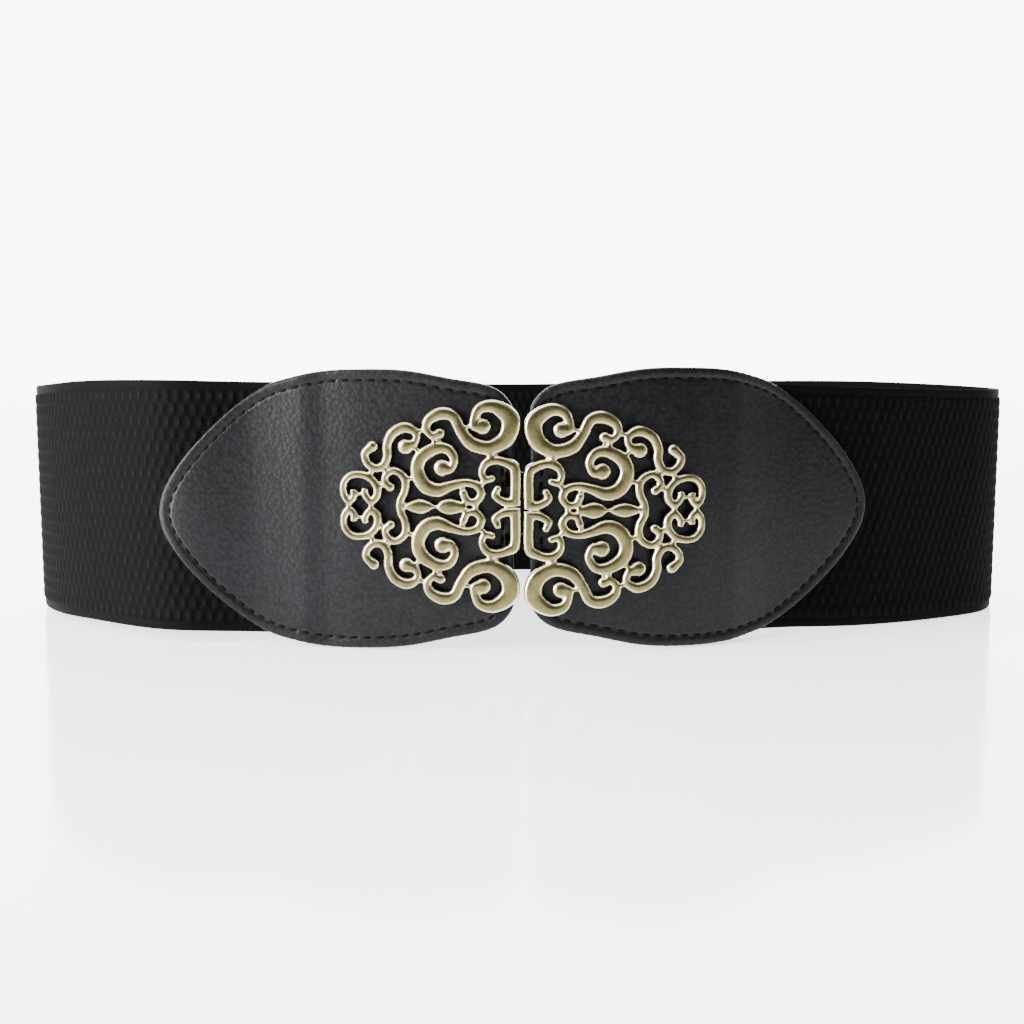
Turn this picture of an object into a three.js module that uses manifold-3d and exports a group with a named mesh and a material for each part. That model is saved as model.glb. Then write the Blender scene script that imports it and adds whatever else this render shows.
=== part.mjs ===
// Elastic stretch belt, fastened, standing on its lower edge. Millimetres, +Z up, the clasp faces -Y.
// The origin is the centre of its footprint on the surface that it stands on.
import * as THREE from "three";
import { LoftGeometry } from "three/addons/geometries/LoftGeometry.js";
import { mergeVertices } from "three/addons/utils/BufferGeometryUtils.js";
import Module from "manifold-3d";

const wasm = await Module();
wasm.setup();

// Driving sizes. The loop is measured to the middle of the elastic's wall.
const LOOP_HALF_WIDTH = 166;
const LOOP_HALF_DEPTH = 75.5;
const BAND_HEIGHT = 75.5;
const BAND_WALL = 1.8;
const SELVAGE_HEIGHT = 2.7;
const SELVAGE_WALL = 1.1;
const SELVAGE_STEP = 0.4;
const BAND_END = 66;

const LEFT_TAB_LENGTH = 106.5;
const RIGHT_TAB_LENGTH = 110.5;
const TAB_HEIGHT = 82.7;
const TAB_INNER_END = 2.4;
const FRONT_PLY = 1.7;
const BACK_PLY = 1.3;
const CLOSED_TAB_FRONT = 2.1;
const CLOSED_TAB_BACK = 1.1;
const TAB_RIM_RADIUS = 0.9;
const TAB_STEP_LENGTH = 9;
const LEFT_TAB_RISE = 0.1;
const RIGHT_TAB_RISE = 0.6;
const TAB_DROOP = 0.022;
const TAB_LEVEL_AT = 50;

const PLATE_LENGTH = 52.3;
const PLATE_HALF_HEIGHT = 31.1;
const PLATE_THICKNESS = 3;
const PLATE_SHOULDER = 0.5;
const WIDEST_STROKE = 5.1;
const PLATE_SPLIT = 0.9;
const LEFT_PLATE_Z = 43.3;
const RIGHT_PLATE_Z = 42.3;

const POST_RADIUS = 1.1;
const POST_HEAD_RADIUS = 2.2;
const POST_HEAD_THICKNESS = 0.8;
const POST_OVERLAP = 0.1;
const POST_ROOT = 0.5;
const HOOK_HEIGHT = 4;
const HOOK_THICKNESS = 1.1;
const HOOK_REACH = 4.9;
const HOOK_ROOT = 2.6;
const HOOK_TIP_WIDTH = 1.1;
const HOOK_TIP_RISE = 2.4;
const HOOK_OFFSET = 9;
const CLEARANCE = 0.3;

// Fineness of the facets.
const STATION_STEP = 9;
const FINE_STEPS = 12;
const MOST_TURN = 38;
const BALL_SIDES = 8;
const POST_SIDES = 8;
const OVERCUT = 3;
const LEAST_STATION_STEP = 1.1;
const THINNEST_STROKE = 0.6;
const RIM_SHARE = 0.4;

// The loop seen from above, from the middle of the front round by the right: shares of the half width,
// the half depth and the height by which the tabs lift the elastic off the surface.
const LOOP_ROWS = [
  { x: 0, y: -0.935, lift: 1 },
  { x: 0.277, y: -0.881, lift: 1 },
  { x: 0.47, y: -0.67, lift: 0.72 },
  { x: 0.645, y: -0.55, lift: 0.39 },
  { x: 0.825, y: -0.35, lift: 0.13 },
  { x: 0.958, y: -0.135, lift: 0 },
  { x: 1, y: 0.08, lift: 0 },
  { x: 0.955, y: 0.32, lift: 0.18 },
  { x: 0.77, y: 0.64, lift: 0.48 },
  { x: 0.45, y: 0.9, lift: 0.35 },
  { x: 0, y: 1, lift: 0 },
  { x: -0.45, y: 0.92, lift: 0 },
  { x: -0.77, y: 0.68, lift: 0.08 },
  { x: -0.955, y: 0.34, lift: 0.27 },
  { x: -1, y: 0.08, lift: 0.22 },
  { x: -0.93, y: -0.26, lift: 0.54 },
  { x: -0.81, y: -0.55, lift: 1 },
  { x: -0.65, y: -0.78, lift: 1.14 },
  { x: -0.47, y: -0.79, lift: 0.98 },
  { x: -0.268, y: -0.874, lift: 1 },
];

// Outline of a tab, from its inner end to its tip: shares of its length and of half its height.
const TAB_ROWS = [
  { along: 0, half: 0.69 },
  { along: 0.012, half: 0.755 },
  { along: 0.04, half: 0.83 },
  { along: 0.08, half: 0.875 },
  { along: 0.17, half: 0.92 },
  { along: 0.3, half: 0.985 },
  { along: 0.43, half: 1 },
  { along: 0.53, half: 0.992 },
  { along: 0.62, half: 0.952 },
  { along: 0.69, half: 0.9 },
  { along: 0.77, half: 0.785 },
  { along: 0.85, half: 0.615 },
  { along: 0.92, half: 0.423 },
  { along: 0.965, half: 0.26 },
  { along: 0.99, half: 0.133 },
  { along: 1, half: 0.045 },
];

// The scrolls of the upper half of a plate. along is a share of the plate's length from the clasp's
// middle, up a share of its half height, and wide a share of the widest stroke. The others mirror them.
const CREST_SCROLL = [
  { along: 0.204, up: 0.747, wide: 0.86 },
  { along: 0.251, up: 0.763, wide: 0.49 },
  { along: 0.222, up: 0.905, wide: 0.6 },
  { along: 0.139, up: 0.93, wide: 0.77 },
  { along: 0.057, up: 0.818, wide: 1 },
  { along: 0.071, up: 0.655, wide: 0.95 },
  { along: 0.157, up: 0.556, wide: 0.82 },
  { along: 0.257, up: 0.585, wide: 0.8 },
  { along: 0.318, up: 0.7, wide: 0.65 },
  { along: 0.361, up: 0.837, wide: 0.66 },
  { along: 0.428, up: 0.865, wide: 0.73 },
  { along: 0.493, up: 0.81, wide: 0.6 },
  { along: 0.51, up: 0.726, wide: 0.48 },
  { along: 0.479, up: 0.66, wide: 0.42 },
  { along: 0.437, up: 0.68, wide: 0.58 },
];
const GREAT_SCROLL = [
  { along: 0.425, up: 0.362, wide: 0.89 },
  { along: 0.376, up: 0.355, wide: 0.5 },
  { along: 0.357, up: 0.448, wide: 0.5 },
  { along: 0.396, up: 0.54, wide: 0.6 },
  { along: 0.466, up: 0.541, wide: 0.71 },
  { along: 0.54, up: 0.458, wide: 0.8 },
  { along: 0.561, up: 0.337, wide: 0.8 },
  { along: 0.525, up: 0.204, wide: 0.84 },
  { along: 0.453, up: 0.154, wide: 0.8 },
  { along: 0.374, up: 0.197, wide: 0.6 },
  { along: 0.296, up: 0.228, wide: 0.48 },
  { along: 0.235, up: 0.201, wide: 0.48 },
  { along: 0.211, up: 0.123, wide: 0.48 },
  { along: 0.239, up: 0.053, wide: 0.44 },
  { along: 0.288, up: 0.06, wide: 0.41 },
  { along: 0.308, up: 0.13, wide: 0.46 },
];
const WINDOW_SCROLL = [
  { along: 0.151, up: 0.27, wide: 0.39 },
  { along: 0.19, up: 0.257, wide: 0.39 },
  { along: 0.207, up: 0.33, wide: 0.41 },
  { along: 0.182, up: 0.411, wide: 0.5 },
  { along: 0.126, up: 0.436, wide: 0.5 },
  { along: 0.065, up: 0.404, wide: 0.54 },
  { along: 0.029, up: 0.337, wide: 0.57 },
  { along: 0.029, up: 0.012, wide: 0.57 },
];
const WINDOW_TAIL = [
  { along: 0.03, up: 0.045, wide: 0.5 },
  { along: 0.083, up: 0.049, wide: 0.5 },
  { along: 0.135, up: 0.104, wide: 0.44 },
  { along: 0.122, up: 0.172, wide: 0.4 },
];
const OUTER_SCROLL = [
  { along: 0.628, up: 0.556, wide: 0.82 },
  { along: 0.574, up: 0.596, wide: 0.46 },
  { along: 0.567, up: 0.684, wide: 0.46 },
  { along: 0.626, up: 0.736, wide: 0.62 },
  { along: 0.696, up: 0.684, wide: 0.59 },
  { along: 0.729, up: 0.573, wide: 0.52 },
  { along: 0.729, up: 0.462, wide: 0.52 },
  { along: 0.752, up: 0.381, wide: 0.5 },
  { along: 0.796, up: 0.354, wide: 0.48 },
  { along: 0.842, up: 0.399, wide: 0.46 },
  { along: 0.856, up: 0.485, wide: 0.46 },
  { along: 0.814, up: 0.556, wide: 0.61 },
];
const END_RING = [
  { along: 0.922, up: 0.152, wide: 0.38 },
  { along: 0.922, up: 0.078, wide: 0.4 },
  { along: 0.95, up: 0.04, wide: 0.42 },
  { along: 0.976, up: 0.1, wide: 0.4 },
  { along: 0.976, up: 0.204, wide: 0.4 },
  { along: 0.94, up: 0.278, wide: 0.42 },
  { along: 0.887, up: 0.293, wide: 0.43 },
  { along: 0.831, up: 0.263, wide: 0.45 },
  { along: 0.791, up: 0.182, wide: 0.47 },
  { along: 0.791, up: 0.093, wide: 0.47 },
  { along: 0.826, up: 0.042, wide: 0.43 },
  { along: 0.859, up: 0.108, wide: 0.38 },
  { along: 0.858, up: 0.166, wide: 0.36 },
];
const BRACKET = [
  { along: 0.715, up: 0.177, wide: 0.5 },
  { along: 0.743, up: 0.222, wide: 0.42 },
  { along: 0.739, up: 0.285, wide: 0.42 },
  { along: 0.696, up: 0.333, wide: 0.43 },
  { along: 0.648, up: 0.293, wide: 0.46 },
  { along: 0.628, up: 0.219, wide: 0.46 },
  { along: 0.635, up: 0.13, wide: 0.45 },
  { along: 0.655, up: 0.062, wide: 0.46 },
  { along: 0.661, up: -0.02, wide: 0.5 },
];
const LEAVES = [
  { along: 0.64, up: 0, wide: 0.16 },
  { along: 0.59, up: 0, wide: 0.66 },
  { along: 0.548, up: 0, wide: 0.84 },
  { along: 0.5, up: 0, wide: 0.6 },
  { along: 0.46, up: 0, wide: 0.16 },
  { along: 0.43, up: 0, wide: 0.66 },
  { along: 0.386, up: 0, wide: 0.92 },
  { along: 0.343, up: 0, wide: 0.76 },
  { along: 0.29, up: 0, wide: 0.32 },
];
// Small bridges that hold the scrolls together, each from one place to another.
const BRIDGES = [
  { along: 0.468, up: 0.63, toAlong: 0.461, toUp: 0.56, wide: 0.25 },
  { along: 0.31, up: 0.73, toAlong: 0.26, toUp: 0.76, wide: 0.18 },
  { along: 0.16, up: 0.51, toAlong: 0.16, toUp: 0.42, wide: 0.4 },
  { along: 0.57, up: 0.7, toAlong: 0.52, toUp: 0.71, wide: 0.22 },
  { along: 0.585, up: 0.57, toAlong: 0.55, toUp: 0.5, wide: 0.24 },
  { along: 0.815, up: 0.35, toAlong: 0.83, toUp: 0.26, wide: 0.26 },
  { along: 0.76, up: 0.37, toAlong: 0.725, toUp: 0.31, wide: 0.28 },
  { along: 0.79, up: 0.18, toAlong: 0.735, toUp: 0.2, wide: 0.22 },
  { along: 0.64, up: 0.25, toAlong: 0.58, toUp: 0.27, wide: 0.24 },
  { along: 0.215, up: 0.2, toAlong: 0.185, toUp: 0.26, wide: 0.28 },
  { along: 0.24, up: 0.04, toAlong: 0.24, toUp: -0.04, wide: 0.3 },
  { along: 0.3, up: 0.06, toAlong: 0.31, toUp: -0.02, wide: 0.24 },
  { along: 0.925, up: 0.11, toAlong: 0.857, toUp: 0.11, wide: 0.16 },
  { along: 0.95, up: 0.03, toAlong: 0.95, toUp: -0.03, wide: 0.24 },
  { along: 0.826, up: 0.03, toAlong: 0.826, toUp: -0.03, wide: 0.24 },
];
// Where the posts behind a plate stand.
const POST_ROWS = [
  { along: 0.157, up: 0.556 },
  { along: 0.157, up: -0.556 },
  { along: 0.548, up: 0 },
];

const TAB_LIFT = (TAB_HEIGHT - BAND_HEIGHT) / 2;
const OPEN_TAB_FRONT = BAND_WALL / 2 + CLEARANCE + FRONT_PLY;
const OPEN_TAB_BACK = BAND_WALL / 2 + CLEARANCE + BACK_PLY;
const PLATE_BACK = CLOSED_TAB_FRONT + CLEARANCE;
const PLATE_FACE = PLATE_BACK + PLATE_THICKNESS;

// The loop's middle line. Its z is the height of the elastic's lower edge.
const loopLine = new THREE.CatmullRomCurve3(
  LOOP_ROWS.map(
    (row) =>
      new THREE.Vector3(row.x * LOOP_HALF_WIDTH, row.y * LOOP_HALF_DEPTH, row.lift * TAB_LIFT),
  ),
  true,
);
loopLine.arcLengthDivisions = 2000;
const loopLength = loopLine.getLength();

// Where the loop is at a length measured from the middle of the front, to the right.
function loopAt(length) {
  const share = THREE.MathUtils.euclideanModulo(length / loopLength, 1);
  const tangent = loopLine.getTangentAt(share);
  const outward = new THREE.Vector3(tangent.y, -tangent.x, 0).normalize();
  return { point: loopLine.getPointAt(share), outward };
}

// Bends a flat geometry round the loop. Flat x runs along the loop, -y outwards and z up.
function bent(geometry, followsLift) {
  const position = geometry.getAttribute("position");
  for (let i = 0; i < position.count; i++) {
    const { point, outward } = loopAt(position.getX(i));
    const place = point.clone().addScaledVector(outward, -position.getY(i));
    const lift = followsLift ? Math.max(0, point.z) : 0;
    position.setXYZ(i, place.x, place.y, position.getZ(i) + lift);
  }
  return geometry;
}

// Six times the volume that a closed geometry holds, negative if its faces point inwards.
function signedVolume(geometry) {
  const position = geometry.getAttribute("position");
  const index = geometry.index;
  const corners = [0, 1, 2].map(() => new THREE.Vector3());
  let sum = 0;
  for (let i = 0; i < index.count; i += 3) {
    corners.forEach((corner, k) => corner.fromBufferAttribute(position, index.getX(i + k)));
    sum += corners[0].dot(corners[1].cross(corners[2]));
  }
  return sum;
}

// A geometry's corners merged, and its faces turned outwards.
function closedSolid(geometry) {
  const plain = new THREE.BufferGeometry();
  plain.setAttribute("position", geometry.getAttribute("position"));
  plain.setIndex(geometry.index);
  const merged = mergeVertices(plain, 1e-4);
  if (signedVolume(merged) < 0) {
    const index = merged.index;
    for (let i = 0; i < index.count; i += 3) {
      const first = index.getX(i);
      index.setX(i, index.getX(i + 1));
      index.setX(i + 1, first);
    }
  }
  return merged;
}

function toManifold(geometry) {
  const solid = closedSolid(geometry);
  return new wasm.Manifold(
    new wasm.Mesh({
      numProp: 3,
      vertProperties: solid.getAttribute("position").array,
      triVerts: new Uint32Array(solid.index.array),
    }),
  );
}

function toGeometry(manifold) {
  const made = manifold.getMesh();
  const geometry = new THREE.BufferGeometry();
  geometry.setAttribute("position", new THREE.BufferAttribute(made.vertProperties, 3));
  geometry.setIndex(new THREE.BufferAttribute(made.triVerts, 1));
  geometry.computeVertexNormals();
  return geometry;
}

// Skins a row of sections, each turned so that the faces point outwards.
function loft(sections) {
  const [first, second] = sections;
  const start = first.reduce((sum, corner) => sum.add(corner), new THREE.Vector3());
  const next = second.reduce((sum, corner) => sum.add(corner), new THREE.Vector3());
  const normal = new THREE.Vector3();
  first.forEach((corner, i) => normal.add(corner.clone().cross(first[(i + 1) % first.length])));
  const forward = normal.dot(next.sub(start)) > 0;
  const ordered = forward ? sections : sections.map((section) => [...section].reverse());
  return new LoftGeometry(ordered, { capStart: true, capEnd: true });
}

// Lengths along the loop from one to another, with a stop at each whole step between them.
function stations(from, to) {
  const stops = [from];
  for (let n = Math.ceil(from / STATION_STEP); n * STATION_STEP < to; n++) {
    const stop = n * STATION_STEP;
    if (Math.min(stop - from, to - stop) > LEAST_STATION_STEP) stops.push(stop);
  }
  stops.push(to);
  return stops;
}

// A value read from rows between their entries, on a smooth line through them.
function smoothRead(rows, key, value, share) {
  let i = 0;
  while (i < rows.length - 2 && rows[i + 1][key] < share) i++;
  const before = rows[Math.max(0, i - 1)];
  const low = rows[i];
  const high = rows[i + 1];
  const after = rows[Math.min(rows.length - 1, i + 2)];
  const span = high[key] - low[key];
  const t = THREE.MathUtils.clamp((share - low[key]) / span, 0, 1);
  const slopeLow = ((high[value] - before[value]) / (high[key] - before[key])) * span;
  const slopeHigh = ((after[value] - low[value]) / (after[key] - low[key])) * span;
  const t2 = t * t;
  const t3 = t2 * t;
  return (
    (2 * t3 - 3 * t2 + 1) * low[value] +
    (t3 - 2 * t2 + t) * slopeLow +
    (3 * t2 - 2 * t3) * high[value] +
    (t3 - t2) * slopeHigh
  );
}

// The elastic's section is thinner along its two selvages. grown widens it all round for a pocket.
function bandSection(x, grown) {
  const wall = BAND_WALL / 2 + grown;
  const edge = SELVAGE_WALL / 2 + grown;
  const foot = -grown;
  const top = BAND_HEIGHT + grown;
  const outline = [
    [-edge, foot],
    [-edge, SELVAGE_HEIGHT],
    [-wall, SELVAGE_HEIGHT + SELVAGE_STEP],
    [-wall, BAND_HEIGHT - SELVAGE_HEIGHT - SELVAGE_STEP],
    [-edge, BAND_HEIGHT - SELVAGE_HEIGHT],
    [-edge, top],
  ];
  const back = outline.map(([y, z]) => [-y, z]).reverse();
  return [...outline, ...back].map(([y, z]) => new THREE.Vector3(x, y, z));
}

function bandStrip(from, to, grown) {
  return bent(loft(stations(from, to).map((x) => bandSection(x, grown))), true);
}

// The plies close up on each other beyond the end of the elastic.
function plyOffset(along, open, closed) {
  const t = THREE.MathUtils.smoothstep(along, BAND_END - TAB_STEP_LENGTH, BAND_END);
  return THREE.MathUtils.lerp(closed, open, t);
}

function tabLength(side) {
  return side > 0 ? RIGHT_TAB_LENGTH : LEFT_TAB_LENGTH;
}

// The height of a tab's middle line, which droops evenly from the clasp to the tip.
function tabMiddle(side, along) {
  const rise = side > 0 ? RIGHT_TAB_RISE : LEFT_TAB_RISE;
  return TAB_HEIGHT / 2 + rise - TAB_DROOP * (along - TAB_LEVEL_AT);
}

// A tab's upright section at a length from the clasp's middle, with a rounded rim.
function tabSection(side, along) {
  const share = (along - TAB_INNER_END) / tabLength(side);
  const middle = tabMiddle(side, along);
  const half = (smoothRead(TAB_ROWS, "along", "half", share) * TAB_HEIGHT) / 2;
  const front = plyOffset(along, OPEN_TAB_FRONT, CLOSED_TAB_FRONT);
  const back = plyOffset(along, OPEN_TAB_BACK, CLOSED_TAB_BACK);
  const rim = Math.min(TAB_RIM_RADIUS, half / 2, (front + back) * RIM_SHARE);
  const corner = rim * (1 - Math.SQRT1_2);
  const outline = [
    [-front, half - rim],
    [-front + corner, half - corner],
    [-front + rim, half],
    [back - rim, half],
    [back - corner, half - corner],
    [back, half - rim],
  ];
  const lower = outline.map(([y, z]) => [y, -z]).reverse();
  return [...outline, ...lower].map(([y, z]) => new THREE.Vector3(side * along, y, middle + z));
}

function tabStations(side) {
  const tip = TAB_INNER_END + tabLength(side);
  const curved = TAB_ROWS.map((row) => TAB_INNER_END + row.along * tabLength(side));
  const even = stations(TAB_INNER_END, tip);
  const wanted = [...curved, ...even].sort((a, b) => a - b);
  return wanted.filter((x, i) => i === 0 || x === tip || x - wanted[i - 1] > LEAST_STATION_STEP);
}

function tab(side) {
  const tip = TAB_INNER_END + tabLength(side);
  const body = bent(loft(tabStations(side).map((x) => tabSection(side, x))), false);
  const from = BAND_END - CLEARANCE;
  const to = tip + OVERCUT;
  const ends = side > 0 ? [from, to] : [-to, -from];
  return toManifold(body).subtract(toManifold(bandStrip(ends[0], ends[1], CLEARANCE)));
}

// A round post that runs outwards from one depth to another.
function post(side, row, middle, radius, from, to) {
  const rod = new THREE.CylinderGeometry(radius, radius, to - from, POST_SIDES);
  const x = side * (PLATE_SPLIT / 2 + row.along * PLATE_LENGTH);
  rod.translate(x, -(from + to) / 2, middle + row.up * PLATE_HALF_HEIGHT);
  return rod;
}

// Places along a line where a stroke needs a section: one at each row's end if it runs straight there,
// and one at each turn of MOST_TURN.
function strokeStops(line, spans) {
  const fine = spans * FINE_STEPS;
  const stops = [0];
  let last = line.getTangent(0);
  for (let i = 1; i < fine; i++) {
    const tangent = line.getTangent(i / fine);
    const turned = THREE.MathUtils.radToDeg(tangent.angleTo(last)) > MOST_TURN;
    const atRow = i % FINE_STEPS === 0 && i - stops[stops.length - 1] * fine > FINE_STEPS;
    if (turned || atRow) {
      stops.push(i / fine);
      last = tangent;
    }
  }
  stops.push(1);
  return stops;
}

// One cast stroke: a flat back, sides that lean in and a flat top. The line's y holds half its width.
function strokeSolid(rows, side, flip, middle) {
  const points = rows.map(
    (row) =>
      new THREE.Vector3(
        side * (PLATE_SPLIT / 2 + row.along * PLATE_LENGTH),
        (row.wide * WIDEST_STROKE) / 2,
        middle + flip * row.up * PLATE_HALF_HEIGHT,
      ),
  );
  const line = new THREE.CatmullRomCurve3(points, false, "catmullrom", 0.5);
  const sections = strokeStops(line, rows.length - 1).map((stop) => {
    const tangent = line.getTangent(stop);
    const across = new THREE.Vector3(tangent.z, 0, -tangent.x).normalize();
    return strokeSection(line.getPoint(stop), across);
  });
  return toManifold(loft(sections));
}

function strokeSection(at, across) {
  const half = Math.max(at.y, THINNEST_STROKE);
  const outline = [
    [half, PLATE_BACK],
    [half - PLATE_SHOULDER, PLATE_FACE],
    [PLATE_SHOULDER - half, PLATE_FACE],
    [-half, PLATE_BACK],
  ];
  return outline.map(
    ([sideways, out]) =>
      new THREE.Vector3(at.x + across.x * sideways, -out, at.z + across.z * sideways),
  );
}

// The round ball that ends a scroll.
function ballSolid(row, side, flip, middle) {
  const radius = (row.wide * WIDEST_STROKE) / 2;
  const x = side * (PLATE_SPLIT / 2 + row.along * PLATE_LENGTH);
  const z = middle + flip * row.up * PLATE_HALF_HEIGHT;
  const levels = [
    [radius, PLATE_BACK],
    [radius - PLATE_SHOULDER, PLATE_FACE],
  ];
  const sections = levels.map(([r, out]) =>
    Array.from({ length: BALL_SIDES }, (unused, i) => {
      const angle = (i / BALL_SIDES) * 2 * Math.PI;
      return new THREE.Vector3(x + r * Math.cos(angle), -out, z + r * Math.sin(angle));
    }),
  );
  return toManifold(loft(sections));
}

function bridgeSolid(row, side, flip, middle) {
  const ends = [
    { along: row.along, up: row.up, wide: row.wide },
    { along: row.toAlong, up: row.toUp, wide: row.wide },
  ];
  return strokeSolid(ends, side, flip, middle);
}

// An upright block in flat places: along the loop, outwards and up.
function block(along, out, up) {
  const size = [along[1] - along[0], out[1] - out[0], up[1] - up[0]];
  const cube = new THREE.BoxGeometry(...size);
  cube.translate((along[0] + along[1]) / 2, -(out[0] + out[1]) / 2, (up[0] + up[1]) / 2);
  return toManifold(cube);
}

function scrollPlate(side, middle) {
  const scrolls = [
    { rows: CREST_SCROLL, balls: "both" },
    { rows: GREAT_SCROLL, balls: "both" },
    { rows: WINDOW_SCROLL, balls: "first" },
    { rows: WINDOW_TAIL, balls: "last" },
    { rows: OUTER_SCROLL, balls: "both" },
    { rows: END_RING, balls: "none" },
    { rows: BRACKET, balls: "first" },
  ];
  const pieces = [strokeSolid(LEAVES, side, 1, middle)];
  for (const flip of [1, -1]) {
    for (const { rows, balls } of scrolls) {
      pieces.push(strokeSolid(rows, side, flip, middle));
      if (balls === "first" || balls === "both") pieces.push(ballSolid(rows[0], side, flip, middle));
      if (balls === "last" || balls === "both") pieces.push(ballSolid(rows.at(-1), side, flip, middle));
    }
    for (const row of BRIDGES) pieces.push(bridgeSolid(row, side, flip, middle));
  }
  for (const row of POST_ROWS) {
    const rivetBack = -CLOSED_TAB_BACK - CLEARANCE;
    const shankBack = rivetBack - POST_OVERLAP;
    const shank = post(side, row, middle, POST_RADIUS, shankBack, PLATE_BACK + POST_ROOT);
    const head = post(
      side, row, middle, POST_HEAD_RADIUS, rivetBack - POST_HEAD_THICKNESS, rivetBack,
    );
    pieces.push(toManifold(shank), toManifold(head));
  }
  return pieces.reduce((whole, piece) => whole.add(piece));
}

// The hooks of the right plate pass behind the left plate's bars. grown widens them for the notch.
function hookSolids(middle, grown) {
  const solids = [];
  for (const flip of [1, -1]) {
    const centre = middle + flip * HOOK_OFFSET;
    const up = [centre - HOOK_HEIGHT / 2 - grown, centre + HOOK_HEIGHT / 2 + grown];
    const arm = [-HOOK_REACH - grown, HOOK_ROOT];
    const tip = [-HOOK_REACH - grown, -HOOK_REACH + HOOK_TIP_WIDTH + grown];
    const back = PLATE_BACK - grown;
    solids.push(block(arm, [back, PLATE_BACK + HOOK_THICKNESS + grown], up));
    solids.push(block(tip, [back, PLATE_BACK + HOOK_TIP_RISE + grown], up));
  }
  return solids;
}

const brass = new THREE.MeshStandardMaterial({ color: 0xaaa578, roughness: 0.38, metalness: 1 });
const leather = new THREE.MeshStandardMaterial({ color: 0x2b292e, roughness: 0.55, metalness: 0 });
const elastic = new THREE.MeshStandardMaterial({ color: 0x1c1a20, roughness: 0.75, metalness: 0 });

function named(name, geometry, material) {
  const mesh = new THREE.Mesh(geometry, material);
  mesh.name = name;
  return mesh;
}

function elasticBand() {
  const strip = bandStrip(BAND_END, loopLength - BAND_END, 0);
  return named("elastic_band", toGeometry(toManifold(strip)), elastic);
}

function leatherTab(name, side, plateMiddle) {
  const holes = POST_ROWS.map((row) =>
    toManifold(
      bent(post(side, row, plateMiddle, POST_RADIUS + CLEARANCE, -OPEN_TAB_BACK, PLATE_BACK), false),
    ),
  );
  const solid = holes.reduce((whole, hole) => whole.subtract(hole), tab(side));
  return named(name, toGeometry(solid), leather);
}

const belt = new THREE.Group();
belt.add(elasticBand());
belt.add(leatherTab("left_tab", -1, LEFT_PLATE_Z));
belt.add(leatherTab("right_tab", 1, RIGHT_PLATE_Z));

const leftPlate = hookSolids(RIGHT_PLATE_Z, CLEARANCE).reduce(
  (whole, hook) => whole.subtract(hook),
  scrollPlate(-1, LEFT_PLATE_Z),
);
belt.add(named("left_clasp_plate", bent(toGeometry(leftPlate), false), brass));

const rightPlate = hookSolids(RIGHT_PLATE_Z, 0).reduce(
  (whole, hook) => whole.add(hook),
  scrollPlate(1, RIGHT_PLATE_Z),
);
belt.add(named("right_clasp_plate", bent(toGeometry(rightPlate), false), brass));

// The footprint's centre is moved onto the origin.
const bounds = new THREE.Box3().setFromObject(belt);
const centre = bounds.getCenter(new THREE.Vector3());
belt.position.set(-centre.x, -centre.y, -bounds.min.z);

export default belt;
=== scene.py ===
# %% [markdown]
# # An elastic waist belt with a cast scroll clasp
# The belt is a wide strip of rubber elastic, closed at the front by two egg-shaped leather tabs. Each tab
# carries one half of a pierced brass clasp. The measured model comes first and isn't changed: every visible
# piece made here stands in the place that it gives.

# %% Start from the measured frame
import math

import bmesh
import bpy
import numpy as np
from mathutils import Matrix, Vector


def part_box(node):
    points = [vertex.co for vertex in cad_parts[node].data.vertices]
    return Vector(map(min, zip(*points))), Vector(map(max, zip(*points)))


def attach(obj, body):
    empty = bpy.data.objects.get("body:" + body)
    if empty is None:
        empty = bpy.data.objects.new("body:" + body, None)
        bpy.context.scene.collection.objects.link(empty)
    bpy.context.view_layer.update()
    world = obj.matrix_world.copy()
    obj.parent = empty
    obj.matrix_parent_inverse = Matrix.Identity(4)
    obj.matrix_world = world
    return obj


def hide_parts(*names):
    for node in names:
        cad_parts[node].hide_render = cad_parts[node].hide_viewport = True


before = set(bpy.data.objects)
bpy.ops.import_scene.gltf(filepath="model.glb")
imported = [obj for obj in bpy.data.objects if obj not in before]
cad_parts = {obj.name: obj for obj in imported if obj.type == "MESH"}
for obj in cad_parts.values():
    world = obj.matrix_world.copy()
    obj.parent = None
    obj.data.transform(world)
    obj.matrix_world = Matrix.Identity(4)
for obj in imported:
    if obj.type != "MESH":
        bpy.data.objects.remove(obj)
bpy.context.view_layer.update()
MM = 0.001
print("CAD nodes:", sorted(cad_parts))

# %% [markdown]
# The pieces are soft strips that were cut flat and then closed into a loop, so each is modelled flat, as on a
# cutting table, and bent afterwards. Flat x runs along the loop from the middle of the front, to the right;
# -y is outwards and z is up. The loop itself is one smooth closed line through a few places, given as shares
# of its half width and half depth. A drawn curve object would do too, but a function can bend any mesh.

# %% The line that the belt follows
HALF_WIDTH = 166 * MM
HALF_DEPTH = 75.5 * MM
TAB_LIFT = 3.6 * MM
SPAN_STEPS = 100
LOOP_ROWS = (  # share of half width, share of half depth, share of the height off the surface
    (0, -0.935, 1), (0.277, -0.881, 1), (0.47, -0.67, 0.72), (0.645, -0.55, 0.39), (0.825, -0.35, 0.13),
    (0.958, -0.135, 0), (1, 0.08, 0), (0.955, 0.32, 0.18), (0.77, 0.64, 0.48), (0.45, 0.9, 0.35),
    (0, 1, 0), (-0.45, 0.92, 0), (-0.77, 0.68, 0.08), (-0.955, 0.34, 0.27), (-1, 0.08, 0.22),
    (-0.93, -0.26, 0.54), (-0.81, -0.55, 1), (-0.65, -0.78, 1.14), (-0.47, -0.79, 0.98),
    (-0.268, -0.874, 1),
)


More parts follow.
